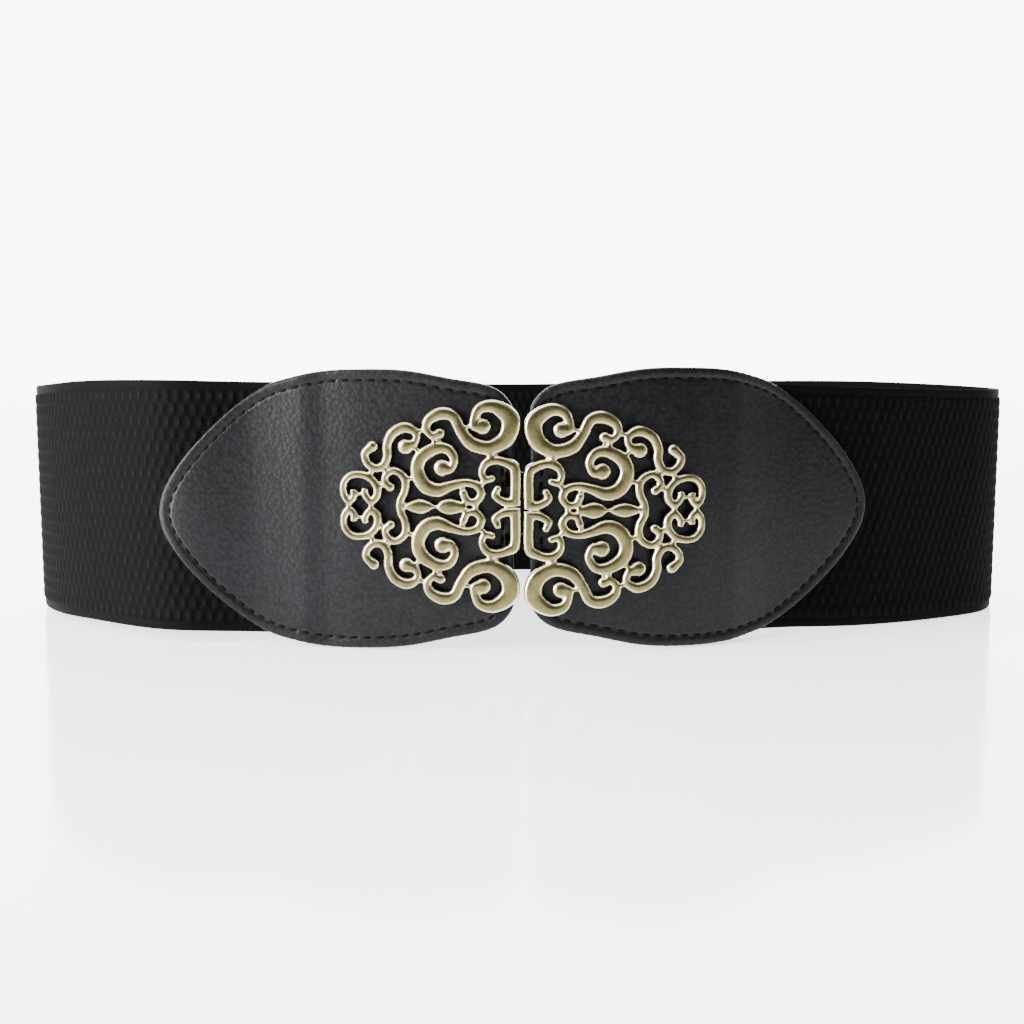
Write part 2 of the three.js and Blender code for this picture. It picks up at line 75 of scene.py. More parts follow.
def smooth_span(before, start, end, after, power):
    """Places on a smooth span from start to end. power 0.25 spaces it by chord length, 0 evenly."""
    gaps = [max((b - a).length_squared ** power, 1e-9) for a, b in
            ((before, start), (start, end), (end, after))]
    leave = (start - before) / gaps[0] - (end - before) / (gaps[0] + gaps[1]) + (end - start) / gaps[1]
    reach = (end - start) / gaps[1] - (after - start) / (gaps[1] + gaps[2]) + (after - end) / gaps[2]
    leave, reach = leave * gaps[1], reach * gaps[1]
    square = 3 * (end - start) - 2 * leave - reach
    cube = 2 * (start - end) + leave + reach
    return lambda t: start + leave * t + square * t**2 + cube * t**3


def measure_loop():
    """The loop's line as many places, with the length run at each."""
    rows = [Vector((x * HALF_WIDTH, y * HALF_DEPTH, lift * TAB_LIFT)) for x, y, lift in LOOP_ROWS]
    places = []
    for i in range(len(rows)):
        around = [rows[(i + k) % len(rows)] for k in (-1, 0, 1, 2)]
        span = smooth_span(*around, power=0.25)
        places += [span(n / SPAN_STEPS) for n in range(SPAN_STEPS)]
    line = np.array([*places, places[0]])
    steps = np.linalg.norm(np.diff(line, axis=0), axis=1)
    return line, np.concatenate([[0], np.cumsum(steps)])


loop_line, loop_run = measure_loop()
loop_length = loop_run[-1]
band_low, band_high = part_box("elastic_band")
loop_line[:, 0] += (band_low.x + band_high.x) / 2 - (loop_line[:, 0].max() + loop_line[:, 0].min()) / 2
loop_line[:, 1] += band_high.y - 0.9 * MM - loop_line[:, 1].max()
print(f"loop {loop_length / MM:.0f} mm round")


def loop_at(along):
    """Places on the loop, and the outward directions there, for an array of lengths."""
    step = 0.5 * MM
    here, ahead, behind = (
        np.stack([np.interp((along + d) % loop_length, loop_run, loop_line[:, k]) for k in range(3)], 1)
        for d in (0, step, -step)
    )
    tangent = (ahead - behind)[:, :2]
    tangent /= np.linalg.norm(tangent, axis=1)[:, None]
    return here, np.stack([tangent[:, 1], -tangent[:, 0]], 1)


def bend(mesh, lifted):
    """Bends a flat mesh round the loop, and raises it with the elastic where it is lifted."""
    flat = np.empty(len(mesh.vertices) * 3, np.float32)
    mesh.vertices.foreach_get("co", flat)
    flat = flat.reshape(-1, 3).astype(float)
    here, outward = loop_at(flat[:, 0])
    placed = np.empty_like(flat)
    placed[:, :2] = here[:, :2] - outward * flat[:, 1:2]
    placed[:, 2] = flat[:, 2] + (np.maximum(here[:, 2], 0) if lifted else 0)
    mesh.vertices.foreach_set("co", placed.astype(np.float32).ravel())
    mesh.update()


# %% [markdown]
# Materials come before the pieces. Colours are written as the sRGB values that a colour chart shows, and one
# function turns them to linear light. One more function adds a node, sets it and links it.

# %% Helpers for colours and nodes


def linear(hex_colour):
    """An sRGB hex colour as linear red, green, blue and alpha."""
    parts = [int(hex_colour[i:i + 2], 16) / 255 for i in (1, 3, 5)]
    return (*[c / 12.92 if c <= 0.04045 else ((c + 0.055) / 1.055) ** 2.4 for c in parts], 1)


def add_node(tree, kind, links=None, **settings):
    """Adds a node, sets its properties or its sockets by name, and links its sockets."""
    made = tree.nodes.new(kind)
    for key, value in settings.items():
        if hasattr(made, key):
            setattr(made, key, value)
        else:
            made.inputs[key.replace("_", " ")].default_value = value
    for socket, source in (links or {}).items():
        tree.links.new(source, made.inputs[socket])
    return made


def new_material(name, **shader):
    """An empty material with its shader, and the shader's own sockets set."""
    material = bpy.data.materials.new(name)
    material.use_nodes = True
    tree = material.node_tree
    tree.nodes.clear()
    principled = add_node(tree, "ShaderNodeBsdfPrincipled", **shader)
    add_node(tree, "ShaderNodeOutputMaterial", {"Surface": principled.outputs[0]})
    return material, tree, principled


def per_mm(size):
    """The scale of a pattern on metre coordinates whose features are size millimetres apart."""
    return 1 / (size * MM)


def wave_scale(size):
    """The scale of a wave texture whose bands are size millimetres apart."""
    return 2 * math.pi / (20 * size * MM)


def colour_ramp(tree, factor, stops):
    """A ramp through (position, hex colour) stops."""
    ramp = add_node(tree, "ShaderNodeValToRGB", {"Fac": factor})
    ramp.color_ramp.elements[0].position, ramp.color_ramp.elements[1].position = stops[0][0], stops[-1][0]
    for position, _ in stops[1:-1]:
        ramp.color_ramp.elements.new(position)
    for element, (_, colour) in zip(ramp.color_ramp.elements, stops):
        element.color = linear(colour)
    return ramp.outputs["Color"]


# %% [markdown]
# The webbing is spun rubber covered with black polyester yarn. Yarn is matt with a faint sheen, and the dark
# gaps between the ribs hold the eye more than the ribs do. An attribute stored on the mesh when the strip is
# made is 1 on a rib and 0 in a gap, and the colour turns it into painted shade in the gaps and a painted
# highlight on the rib tops. Single threads are 0.45 mm apart.

# %% Woven elastic


def woven_elastic():
    material, tree, shader = new_material(
        "black_rubber_elastic_woven", Roughness=0.7, Specular_IOR_Level=0.04)
    rib = add_node(tree, "ShaderNodeAttribute", attribute_name="rib").outputs["Fac"]
    uv = add_node(tree, "ShaderNodeUVMap", uv_map="flat").outputs["UV"]
    threads = add_node(tree, "ShaderNodeTexWave", {"Vector": uv}, bands_direction="Y",
                       Scale=wave_scale(0.5), Distortion=1.2, Detail=1)
    blotch = add_node(tree, "ShaderNodeTexNoise", {"Vector": uv}, Scale=per_mm(5), Detail=4)
    uneven = add_node(tree, "ShaderNodeMath", {0: blotch.outputs["Fac"]}, operation="MULTIPLY_ADD")
    uneven.inputs[1].default_value = 0.5
    uneven.inputs[2].default_value = 0.72
    shade_and_blotch = add_node(tree, "ShaderNodeMath", {0: rib, 1: uneven.outputs[0]}, operation="MULTIPLY")
    # painted shade and highlight: near black in the gaps, lighter on the rib tops, with random blotches of tone
    colour = colour_ramp(tree, shade_and_blotch.outputs[0], ((0.35, "#010101"), (0.75, "#020202"), (1.0, "#111012")))
    tree.links.new(colour, shader.inputs["Base Color"])
    bump = add_node(tree, "ShaderNodeBump", {"Height": threads.outputs["Fac"]},
                    Strength=0.5, Distance=0.1 * MM)
    tree.links.new(bump.outputs[0], shader.inputs["Normal"])
    return material


elastic_cloth = woven_elastic()
print("material:", elastic_cloth.name)

# %% [markdown]
# The tabs are coated leather: cloth-backed polyurethane embossed with a fine pebble grain. The coating gives a
# low, broad shine. The grain is about 1.1 mm across, from cells with soft edges and a finer noise over them.
# The colour is darkened in the valleys between the cells as painted shade, and its tone varies at random.

# %% Pebbled leather


def pebbled_leather():
    material, tree, shader = new_material(
        "black_pu_leather_embossed", Roughness=0.4, Specular_IOR_Level=0.14)
    place = add_node(tree, "ShaderNodeTexCoord").outputs["Object"]
    pebble = add_node(tree, "ShaderNodeTexVoronoi", {"Vector": place}, feature="SMOOTH_F1",
                      Scale=per_mm(1.25), Smoothness=0.4)
    fine = add_node(tree, "ShaderNodeTexNoise", {"Vector": place}, Scale=per_mm(0.9), Detail=4)
    cloud = add_node(tree, "ShaderNodeTexNoise", {"Vector": place}, Scale=per_mm(18), Detail=2)
    colour = colour_ramp(tree, cloud.outputs["Fac"], ((0.3, "#0f0e11"), (0.7, "#131215")))
    # painted shade: the valleys between the pebbles are darkened in the colour
    valley_shade = colour_ramp(tree, pebble.outputs["Distance"], ((0.15, "#ffffff"), (0.75, "#8c8c8e")))
    tone_and_valley_shade = add_node(tree, "ShaderNodeMix", data_type="RGBA", blend_type="MULTIPLY")
    tone_and_valley_shade.inputs[0].default_value = 1
    tree.links.new(colour, tone_and_valley_shade.inputs[6])
    tree.links.new(valley_shade, tone_and_valley_shade.inputs[7])
    tree.links.new(tone_and_valley_shade.outputs[2], shader.inputs["Base Color"])
    grain = add_node(tree, "ShaderNodeMath", {0: pebble.outputs["Distance"]}, operation="MULTIPLY_ADD")
    grain.inputs[1].default_value = -1.0
    softer = add_node(tree, "ShaderNodeMath", {0: fine.outputs["Fac"]}, operation="MULTIPLY")
    softer.inputs[1].default_value = 0.3
    tree.links.new(softer.outputs[0], grain.inputs[2])
    bump = add_node(tree, "ShaderNodeBump", {"Height": grain.outputs[0]}, Strength=0.32, Distance=0.22 * MM)
    tree.links.new(bump.outputs[0], shader.inputs["Normal"])
    rough = add_node(tree, "ShaderNodeMapRange", {"Value": fine.outputs["Fac"]}, To_Min=0.35, To_Max=0.46)
    tree.links.new(rough.outputs[0], shader.inputs["Roughness"])
    return material


def waxed_thread():
    material, tree, shader = new_material(
        "black_polyester_thread_twisted", Roughness=0.6, Specular_IOR_Level=0.05)
    place = add_node(tree, "ShaderNodeTexCoord").outputs["Object"]
    twist = add_node(tree, "ShaderNodeTexWave", {"Vector": place}, bands_direction="DIAGONAL",
                     Scale=wave_scale(0.5))
    # painted shade: the grooves of the twist are a little darker in the colour
    colour = colour_ramp(tree, twist.outputs["Fac"], ((0.1, "#010101"), (0.9, "#060506")))
    tree.links.new(colour, shader.inputs["Base Color"])
    bump = add_node(tree, "ShaderNodeBump", {"Height": twist.outputs["Fac"]}, Strength=0.4,
                    Distance=0.08 * MM)
    tree.links.new(bump.outputs[0], shader.inputs["Normal"])
    return material


tab_leather = pebbled_leather()
tab_thread = waxed_thread()
print("materials:", tab_leather.name, tab_thread.name)

# %% [markdown]
# The clasp is a zinc casting with an antique brass finish: plated, stained dark, then rubbed so that the
# edges shine and the hollows stay brown. Two attributes painted on the mesh steer it: depth is 1 on the face
# and 0 at the back, and is set low on the hooks to paint them dark as shade; edge is 1 on the rounded
# shoulders, whose rubbed brass is painted lighter still as a highlight. A metal keeps the default IOR.

# %% Antique brass


def antique_brass():
    material, tree, shader = new_material("zinc_alloy_cast_antique_brass", Metallic=1.0, Roughness=0.25)
    place = add_node(tree, "ShaderNodeTexCoord").outputs["Object"]
    depth = add_node(tree, "ShaderNodeAttribute", attribute_name="depth").outputs["Fac"]
    edge = add_node(tree, "ShaderNodeAttribute", attribute_name="edge").outputs["Fac"]
    stain = add_node(tree, "ShaderNodeTexNoise", {"Vector": place}, Scale=per_mm(2.6), Detail=4,
                     Roughness=0.6)
    casting = add_node(tree, "ShaderNodeTexNoise", {"Vector": place}, Scale=per_mm(0.5), Detail=3)
    face = colour_ramp(tree, stain.outputs["Fac"], ((0.3, "#5b5334"), (0.7, "#736b48")))
    # real patina darkens the hollows; on the hooks the same ramp gives painted shade
    sunk_patina_and_hook_shade = colour_ramp(tree, depth, ((0.1, "#17120c"), (0.6, "#5d5234"), (0.92, "#ffffff")))
    shaded = add_node(tree, "ShaderNodeMix", data_type="RGBA", blend_type="MULTIPLY")
    shaded.inputs[0].default_value = 1
    tree.links.new(face, shaded.inputs[6])
    tree.links.new(sunk_patina_and_hook_shade, shaded.inputs[7])
    # the rubbed brass of the shoulders, painted lighter still as a highlight
    rubbed_edge_highlight = add_node(tree, "ShaderNodeMix", data_type="RGBA")
    tree.links.new(edge, rubbed_edge_highlight.inputs[0])
    tree.links.new(shaded.outputs[2], rubbed_edge_highlight.inputs[6])
    rubbed_edge_highlight.inputs[7].default_value = linear("#dfd5ae")
    tree.links.new(rubbed_edge_highlight.outputs[2], shader.inputs["Base Color"])
    rough = add_node(tree, "ShaderNodeMapRange", {"Value": stain.outputs["Fac"]}, To_Min=0.2, To_Max=0.33)
    tree.links.new(rough.outputs[0], shader.inputs["Roughness"])
    bump = add_node(tree, "ShaderNodeBump", {"Height": casting.outputs["Fac"]}, Strength=0.12,
                    Distance=0.05 * MM)
    tree.links.new(bump.outputs[0], shader.inputs["Normal"])
    return material


clasp_metal = antique_brass()
print("material:", clasp_metal.name)

# %% Finishing a piece


def finish_piece(name, mesh, material, replaces=None):
    """Links a mesh as a finished piece of the belt."""
    piece = bpy.data.objects.new(name, mesh)
    bpy.context.scene.collection.objects.link(piece)
    mesh.materials.clear()
    mesh.materials.append(material)
    mesh.polygons.foreach_set("use_smooth", [True] * len(mesh.polygons))
    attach(piece, "root")
    if replaces:
        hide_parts(replaces)
    triangles = sum(len(face.vertices) - 2 for face in mesh.polygons)
    print(f"{name}: {triangles} triangles")
    return piece


def mesh_from(bm, name):
    """A mesh made from a bmesh, which is freed."""
    mesh = bpy.data.meshes.new(name)
    bm.to_mesh(mesh)
    bm.free()
    return mesh


# %% [markdown]
# The elastic is woven like bricks: upright ribs in rows, each row moved by half a rib, between two plain
# selvages that are a little thinner. The ribs are real relief, because they show along the folds. A grid with
# four steps to a rib and three to a row holds them, and a turned copy, bridged to it at the rims, gives the
# second face its own ribs.

# %% The elastic strip
BAND_HEIGHT = 75.5 * MM
BAND_HALF_WALL = 0.9 * MM
BAND_END = 66 * MM
SELVAGE = 2.7 * MM
SELVAGE_HALF_WALL = 0.55 * MM
RIB_PITCH = 3.2 * MM
RIB_ROWS = 18
RIB_RISE = 0.16 * MM
GAP_DEPTH = 0.42 * MM
ROW_STOPS = (0.1, 0.5, 0.9)
# ROW_CROWN and RIB_SECTION set the ribs' relief and also their painted light: tops lightest mid-row, gaps dark
ROW_CROWN = (0.8, 1.0, 0.8)
RIB_SECTION = (1.0, 0.5, 0.0, 0.5)
SELVAGE_EDGE, SELVAGE_FLAT, GROOVE = -1, -2, -3


def band_levels():
    """The strip's grid lines: height, kind (a row of ribs counts from 0), and place in the row."""
    row = (BAND_HEIGHT - 2 * SELVAGE) / RIB_ROWS
    edge = [(0, SELVAGE_EDGE, 0), (0.2 * SELVAGE, SELVAGE_FLAT, 0), (0.85 * SELVAGE, SELVAGE_FLAT, 0),
            (SELVAGE, GROOVE, 0)]
    rows = [(SELVAGE + (k + share) * row, k, stop)
            for k in range(RIB_ROWS) for stop, share in enumerate(ROW_STOPS)]
    top = [(BAND_HEIGHT - z, kind, 0) for z, kind, _ in reversed(edge)]
    return edge + rows + top


def band_relief(level, kind, stop, column):
    """How far one face stands out from the strip's middle, and how much of a ridge it is.
    The second value also sets the painted shade in the gaps and the painted highlight on the ridges.
    """
    # the selvage's second values only set the colour: the groove gets a painted shade
    if kind == GROOVE:
        return SELVAGE_HALF_WALL - 0.12 * MM, 0.1
    if kind == SELVAGE_FLAT:
        return SELVAGE_HALF_WALL, 0.55
    if kind == SELVAGE_EDGE:
        return 0.3 * MM, 0.45
    phase = (column + 2 * (kind % 2)) % 4
    rib = RIB_SECTION[phase] * ROW_CROWN[stop]
    return BAND_HALF_WALL - GAP_DEPTH + rib * (GAP_DEPTH + RIB_RISE), rib


def elastic_strip():
    levels = band_levels()
    run = loop_length - 2 * BAND_END
    columns = 4 * round(run / RIB_PITCH)
    bm = bmesh.new()
    bmesh.ops.create_grid(bm, x_segments=columns, y_segments=len(levels) - 1, size=0.5)
    bmesh.ops.rotate(bm, verts=bm.verts, matrix=Matrix.Rotation(math.pi / 2, 3, "X"))
    rib = bm.verts.layers.float.new("rib")
    uv = bm.loops.layers.uv.new("flat")
    relief = {}
    for vert in bm.verts:
        column = round((vert.co.x + 0.5) * columns)
        level = levels[round((vert.co.z + 0.5) * (len(levels) - 1))]
        vert.co = (BAND_END + run * column / columns, 0, level[0])
        relief[vert], vert[rib] = band_relief(*level, column)
    for face in bm.faces:
        for loop in face.loops:
            loop[uv].uv = (loop.vert.co.x, loop.vert.co.z)
    outer = list(bm.verts)
    doubled = bmesh.ops.duplicate(bm, geom=bm.verts[:] + bm.edges[:] + bm.faces[:])
    inner_of = {source: doubled["vert_map"][source] for source in outer}
    for vert, twin in inner_of.items():
        twin.co.y += relief[vert]
        vert.co.y -= relief[vert]
    bmesh.ops.reverse_faces(bm, faces=[f for f in doubled["geom"] if isinstance(f, bmesh.types.BMFace)])
    rims = [edge for edge in bm.edges if edge.is_boundary]
    bmesh.ops.bridge_loops(bm, edges=rims)
    bmesh.ops.recalc_face_normals(bm, faces=bm.faces)
    mesh = mesh_from(bm, "elastic_webbing")
    bend(mesh, True)
    return finish_piece("elastic_webbing", mesh, elastic_cloth, "elastic_band")


elastic_webbing = elastic_strip()

# %% [markdown]
# A tab is two plies of leather cut to one egg shape and sewn together all round. Each ply starts as its flat
# outline, filled with one face. Insets follow the edge inwards, and each new ring gets its height: up over the
# turned rim, down into the seam's groove, up again to the face. The leather stands up a little between the
# stitches. Planes then cut through it at even lengths, so that it has enough edges to bend.

# %% The outline of a tab
TAB_INNER_END = 2.4 * MM
TAB_LENGTH = {-1: 106.5 * MM, 1: 110.5 * MM}
TAB_MIDDLE = {-1: 41.45 * MM, 1: 41.95 * MM}
TAB_HALF_HEIGHT = 41.35 * MM
TAB_DROOP = 0.022
TAB_LEVEL_AT = 50 * MM
TAB_ROWS = (  # share of the length from the inner end, share of half the height
    (0, 0.69), (0.012, 0.755), (0.04, 0.83), (0.08, 0.875), (0.17, 0.92), (0.3, 0.985), (0.43, 1),
    (0.53, 0.992), (0.62, 0.952), (0.69, 0.9), (0.77, 0.785), (0.85, 0.615), (0.92, 0.423),
    (0.965, 0.26), (0.99, 0.133), (1, 0),
)
STITCHES = 80
STEPS_PER_STITCH = 4


def tab_outline(side, inset):
    """The outline as evenly spaced places, STEPS_PER_STITCH to a stitch, moved in by inset."""
    rows = [Vector((TAB_INNER_END + a * TAB_LENGTH[side], h * TAB_HALF_HEIGHT)) for a, h in TAB_ROWS]
    upper = []
    for i in range(len(rows) - 1):
        before = rows[i - 1] if i else rows[0] + Vector((0, -0.3 * TAB_HALF_HEIGHT))
        after = rows[i + 2] if i + 2 < len(rows) else Vector((rows[-1].x, -rows[-2].y))
        span = smooth_span(before, rows[i], rows[i + 1], after, power=0.25)
        upper += [span(n / 12) for n in range(12)]
    lower = [Vector((p.x, -p.y)) for p in reversed(upper)]
    line = np.array([*upper, (rows[-1].x, 0), *lower])
    line = np.concatenate([line, line[:1]])
    run = np.concatenate([[0], np.cumsum(np.linalg.norm(np.diff(line, axis=0), axis=1))])
    count = STITCHES * STEPS_PER_STITCH
    even = np.linspace(0, run[-1], count, endpoint=False)
    places = np.stack([np.interp(even, run, line[:, k]) for k in range(2)], 1)
    ahead = np.roll(places, -1, 0) - np.roll(places, 1, 0)
    inward = np.stack([ahead[:, 1], -ahead[:, 0]], 1) / np.linalg.norm(ahead, axis=1)[:, None]
    return places + inset * inward


print(f"stitch pitch {np.linalg.norm(np.diff(tab_outline(1, 0)[:5], axis=0), axis=1).sum() / MM:.2f} mm")

# %% [markdown]
# The plies lie flat on each other where there is nothing between them, and part at the elastic's end to hold
# it. That step shows as a soft upright crease across the tab.

# %% The two plies
OPEN_FRONT = 2.9 * MM
OPEN_BACK = 2.5 * MM
CLOSED_FRONT = 2.1 * MM
CLOSED_BACK = 1.1 * MM
FRONT_PLY = 1.6 * MM
BACK_PLY = 1.2 * MM
STEP_LENGTH = 9 * MM
RIM_PROFILE = (  # distance in from the edge, height over the face, in millimetres
    (0.0, -0.85), (0.18, -0.42), (0.5, -0.12), (1.0, 0.02), (1.6, 0.05), (2.15, 0.02), (2.55, -0.06),
    (2.9, -0.2), (3.3, -0.34), (3.7, -0.2), (4.05, -0.07), (4.5, 0.0),
)
GROOVE_IN = 3.3
BETWEEN_RISE = 0.3
BEND_CUT = 2.7 * MM
LEAST_EDGE = 0.02 * MM


def ply_offset(along, opened, closed):
    """The plies part smoothly towards the end of the elastic."""
    t = min(max((along - (BAND_END - STEP_LENGTH)) / STEP_LENGTH, 0), 1)
    return closed + (opened - closed) * t * t * (3 - 2 * t)


def ply_face(bm, side, facing, opened, closed):
    """One dressed face of a ply, from its rim inwards. facing is -1 outwards and 1 to the waist."""
    rise = bm.verts.layers.float.new("rise")
    place = bm.verts.layers.int.new("place")
    corners = [bm.verts.new((side * x, 0, z)) for x, z in tab_outline(side, 0)]
    for k, vert in enumerate(corners):
        vert[place] = k
        vert[rise] = RIM_PROFILE[0][1]
    face = bm.faces.new(corners)
    for (last, _), (inset, height) in zip(RIM_PROFILE, RIM_PROFILE[1:]):
        bmesh.ops.inset_region(bm, faces=[face], thickness=(inset - last) * MM, use_boundary=True,
                               use_even_offset=True)
        for vert in face.verts:
            between = inset == GROOVE_IN and vert[place] % STEPS_PER_STITCH == 0
            vert[rise] = height + BETWEEN_RISE * between
    cut = TAB_INNER_END + BEND_CUT
    while cut < TAB_INNER_END + TAB_LENGTH[side] - BEND_CUT:
        geometry = bm.verts[:] + bm.edges[:] + bm.faces[:]
        bmesh.ops.bisect_plane(bm, geom=geometry, plane_co=(side * cut, 0, 0), plane_no=(1, 0, 0),
                               dist=0.02 * MM)
        cut += BEND_CUT
    bmesh.ops.dissolve_degenerate(bm, edges=bm.edges, dist=LEAST_EDGE)
    for vert in bm.verts:
        vert.co.y = facing * (ply_offset(abs(vert.co.x), opened, closed) + vert[rise] * MM)


def leather_ply(side, facing, opened, closed, thickness):
    """A closed ply: its dressed face, and a plain face behind it."""
    bm = bmesh.new()
    ply_face(bm, side, facing, opened, closed)
    bmesh.ops.recalc_face_normals(bm, faces=bm.faces)
    middle_face = max(bm.faces, key=lambda f: f.calc_area())
    if middle_face.normal.y * facing < 0:
        bmesh.ops.reverse_faces(bm, faces=bm.faces)
    doubled = bmesh.ops.duplicate(bm, geom=bm.verts[:] + bm.edges[:] + bm.faces[:])
    for item in doubled["geom"]:
        if isinstance(item, bmesh.types.BMVert):
            inner = ply_offset(abs(item.co.x), opened, closed) - thickness
            item.co.y = facing * inner
    bmesh.ops.reverse_faces(bm, faces=[f for f in doubled["geom"] if isinstance(f, bmesh.types.BMFace)])
    bmesh.ops.bridge_loops(bm, edges=[edge for edge in bm.edges if edge.is_boundary])
    bmesh.ops.recalc_face_normals(bm, faces=bm.faces)
    return bm


def tab_seam(side, facing, opened, closed):
    """The seam: one round of thread in each dent of the groove."""
    bm = bmesh.new()
    places = tab_outline(side, GROOVE_IN * MM)
    for k in range(0, len(places), STEPS_PER_STITCH):
        start, end = places[k], places[(k + STEPS_PER_STITCH) % len(places)]
        x, z = places[k + STEPS_PER_STITCH // 2]
        run = Vector((side * (end[0] - start[0]), 0, end[1] - start[1]))
        made = bmesh.ops.create_icosphere(bm, subdivisions=2, radius=1)["verts"]
        bmesh.ops.scale(bm, verts=made, vec=(0.36 * run.length, 0.36 * MM, 0.62 * MM))
        turned = Matrix.Rotation(-math.atan2(run.z, run.x), 3, "Y")
        bmesh.ops.rotate(bm, verts=made, matrix=turned)
        out = ply_offset(abs(x), opened, closed) - 0.36 * MM
        bmesh.ops.translate(bm, verts=made, vec=(side * x, facing * out, z))
    return bm


def joined(parts, name):
    """One mesh from several bmeshes."""
    whole = bmesh.new()
    for part in parts:
        mesh = mesh_from(part, "part")
        whole.from_mesh(mesh)
        bpy.data.meshes.remove(mesh)
    return mesh_from(whole, name)


def hang_and_bend(mesh, side):
    """Sets a flat tab at its height, lets it droop towards its tip and bends it."""
    for vert in mesh.vertices:
        vert.co.z += TAB_MIDDLE[side] - TAB_DROOP * (abs(vert.co.x) - TAB_LEVEL_AT)
    bend(mesh, False)


def sewn_tab(name, side, node):
    """A tab with its two plies, and its seam of thread on both faces."""
    sides = ((-1, OPEN_FRONT, CLOSED_FRONT), (1, OPEN_BACK, CLOSED_BACK))
    plies = [leather_ply(side, *face, ply) for face, ply in zip(sides, (FRONT_PLY, BACK_PLY))]
    mesh = joined(plies, name)
    hang_and_bend(mesh, side)
    finish_piece(name, mesh, tab_leather, node)
    mesh = joined([tab_seam(side, *face) for face in sides], name + "_stitches")
    hang_and_bend(mesh, side)
    finish_piece(name + "_stitches", mesh, tab_thread)


sewn_tab("left_leather_tab", -1, "left_tab")
sewn_tab("right_leather_tab", 1, "right_tab")

# %% [markdown]
# The clasp plates were cast from a carved pattern of scrolls. Each scroll is one stroke whose width swells and
# thins: a curve with a radius at each place and a section as its bevel makes it at once. The strokes,
# their end balls and the small bridges are then fused by a voxel remesh, whose soft corners look cast.
# Modelling it by hand from a plane would take hours and gain nothing. The plate is made in millimetres,
# because the remesh works better on whole numbers.

# %% The scrolls
PLATE_LENGTH = 52.3
PLATE_HALF_HEIGHT = 31.1
WIDEST_STROKE = 5.1
PLATE_SPLIT = 0.9
PLATE_BACK = 2.4
PLATE_THICKNESS = 3.0
CREST_SCROLL = (  # along the plate, up and wide, as shares of its length, half height and widest stroke
    (0.204, 0.747, 0.86), (0.251, 0.763, 0.49), (0.222, 0.905, 0.6), (0.139, 0.93, 0.77), (0.057, 0.818, 1),
    (0.071, 0.655, 0.95), (0.157, 0.556, 0.82), (0.257, 0.585, 0.8), (0.318, 0.7, 0.65),
    (0.361, 0.837, 0.66), (0.428, 0.865, 0.73), (0.493, 0.81, 0.6), (0.51, 0.726, 0.48),
    (0.479, 0.66, 0.42), (0.437, 0.68, 0.58),
)
GREAT_SCROLL = (
    (0.425, 0.362, 0.89), (0.376, 0.355, 0.5), (0.357, 0.448, 0.5), (0.396, 0.54, 0.6), (0.466, 0.541, 0.71),
    (0.54, 0.458, 0.8), (0.561, 0.337, 0.8), (0.525, 0.204, 0.84), (0.453, 0.154, 0.8),
    (0.374, 0.197, 0.6), (0.296, 0.228, 0.48), (0.235, 0.201, 0.48), (0.211, 0.123, 0.48),
    (0.239, 0.053, 0.44), (0.288, 0.06, 0.41), (0.308, 0.13, 0.46),
)
WINDOW_SCROLL = (
    (0.151, 0.27, 0.39), (0.19, 0.257, 0.39), (0.207, 0.33, 0.41), (0.182, 0.411, 0.5), (0.126, 0.436, 0.5),
    (0.065, 0.404, 0.54), (0.029, 0.337, 0.57), (0.029, 0.012, 0.57),
)
WINDOW_TAIL = ((0.03, 0.045, 0.5), (0.083, 0.049, 0.5), (0.135, 0.104, 0.44), (0.122, 0.172, 0.4))
OUTER_SCROLL = (
    (0.628, 0.556, 0.82), (0.574, 0.596, 0.46), (0.567, 0.684, 0.46), (0.626, 0.736, 0.62),
    (0.696, 0.684, 0.59), (0.729, 0.573, 0.52), (0.729, 0.462, 0.52), (0.752, 0.381, 0.5),
    (0.796, 0.354, 0.48), (0.842, 0.399, 0.46), (0.856, 0.485, 0.46), (0.814, 0.556, 0.61),
)
END_RING = (
    (0.922, 0.152, 0.38), (0.922, 0.078, 0.4), (0.95, 0.04, 0.42), (0.976, 0.1, 0.4),
    (0.976, 0.204, 0.4), (0.94, 0.278, 0.42), (0.887, 0.293, 0.43), (0.831, 0.263, 0.45),
    (0.791, 0.182, 0.47), (0.791, 0.093, 0.47), (0.826, 0.042, 0.43), (0.859, 0.108, 0.38),
    (0.858, 0.166, 0.36),
)
BRACKET = (
    (0.715, 0.177, 0.5), (0.743, 0.222, 0.42), (0.739, 0.285, 0.42), (0.696, 0.333, 0.43),
    (0.648, 0.293, 0.46), (0.628, 0.219, 0.46), (0.635, 0.13, 0.45), (0.655, 0.062, 0.46),
    (0.661, -0.02, 0.5),
)
LEAVES = (
    (0.64, 0, 0.16), (0.59, 0, 0.66), (0.548, 0, 0.84), (0.5, 0, 0.6), (0.46, 0, 0.16), (0.43, 0, 0.66),
    (0.386, 0, 0.92), (0.343, 0, 0.76), (0.29, 0, 0.32),
)
BRIDGES = (  # along and up of one end, of the other end, and wide
    (0.468, 0.63, 0.461, 0.56, 0.25), (0.31, 0.73, 0.26, 0.76, 0.18),
    (0.16, 0.51, 0.16, 0.42, 0.4), (0.57, 0.7, 0.52, 0.71, 0.22), (0.585, 0.57, 0.55, 0.5, 0.24),
    (0.815, 0.35, 0.83, 0.26, 0.26), (0.76, 0.37, 0.725, 0.31, 0.28), (0.79, 0.18, 0.735, 0.2, 0.22),
    (0.64, 0.25, 0.58, 0.27, 0.24), (0.215, 0.2, 0.185, 0.26, 0.28), (0.24, 0.04, 0.24, -0.04, 0.3),
    (0.3, 0.06, 0.31, -0.02, 0.24), (0.925, 0.11, 0.857, 0.11, 0.16), (0.95, 0.03, 0.95, -0.03, 0.24),
    (0.826, 0.03, 0.826, -0.03, 0.24),
)
